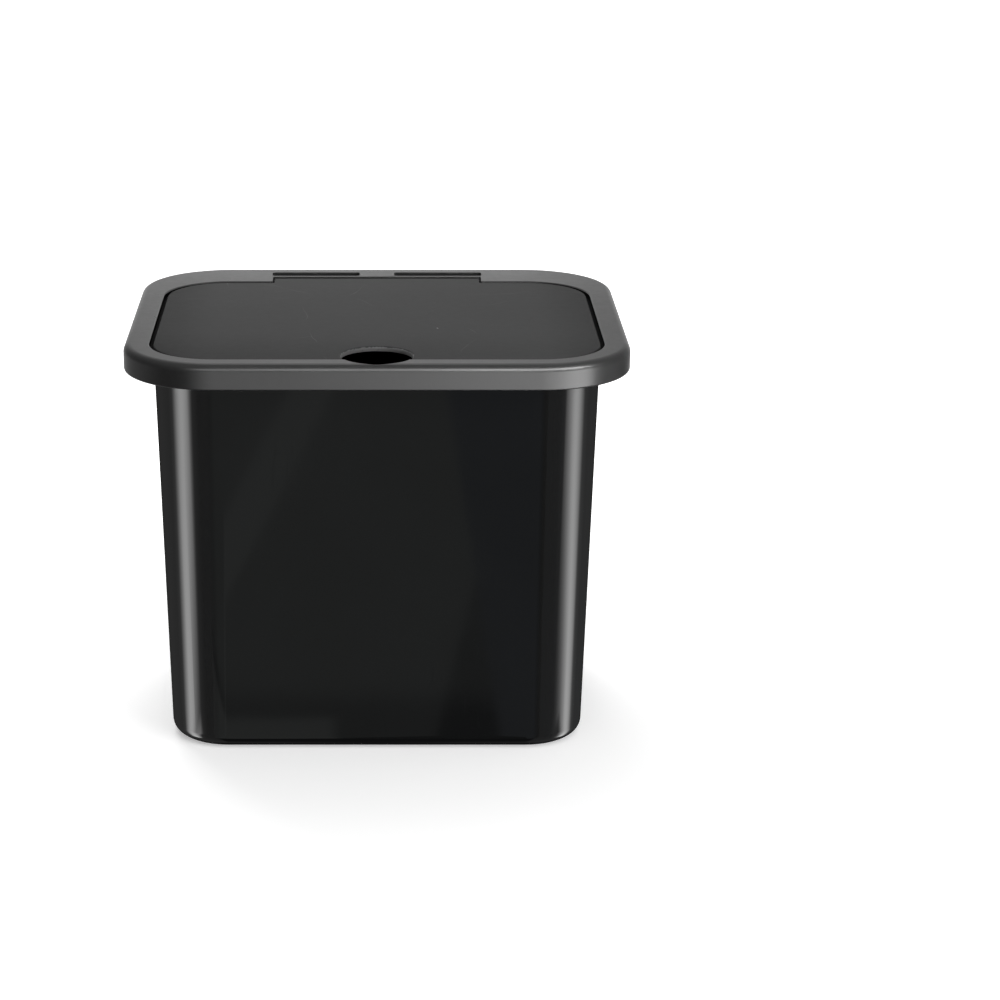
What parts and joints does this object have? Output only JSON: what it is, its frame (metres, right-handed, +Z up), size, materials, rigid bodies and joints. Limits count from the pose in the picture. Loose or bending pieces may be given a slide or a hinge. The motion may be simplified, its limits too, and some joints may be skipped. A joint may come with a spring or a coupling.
{
  "type": "car trash bin",
  "caption": "Hanging car trash bin: a tapered gloss bucket under a lid frame with hook slots and a hinged flap with a finger hole.",
  "frame": {"origin": "on the floor, under the middle of the whole part's box, which is the middle of the lid", "axes": "+X to the right seen from the front, along the lid's width; -Y towards the front, where the finger hole is; +Z up"},
  "size_m": [0.2206, 0.1844, 0.1815],
  "materials": {
    "bucket": "gloss black moulded plastic",
    "lid_frame": "matte dark grey moulded plastic",
    "flap": "matte dark grey moulded plastic with a fine grain"
  },
  "bodies": {
    "bucket": {"bucket": "bucket"},
    "lid_frame": {"lid_frame": "lid_frame"},
    "flap": {"flap": "flap"}
  },
  "joints": [
    {"name": "frame_lift", "type": "slide", "parent": "bucket", "child": "lid_frame", "axis": [0, 0, 1], "range_m": [0, 0.06]},
    {"name": "flap_hinge", "type": "hinge", "parent": "lid_frame", "child": "flap", "pos_m": [0, 0.07135, 0.1791], "axis": [-1, 0, 0], "range_deg": [0, 100]}
  ]
}
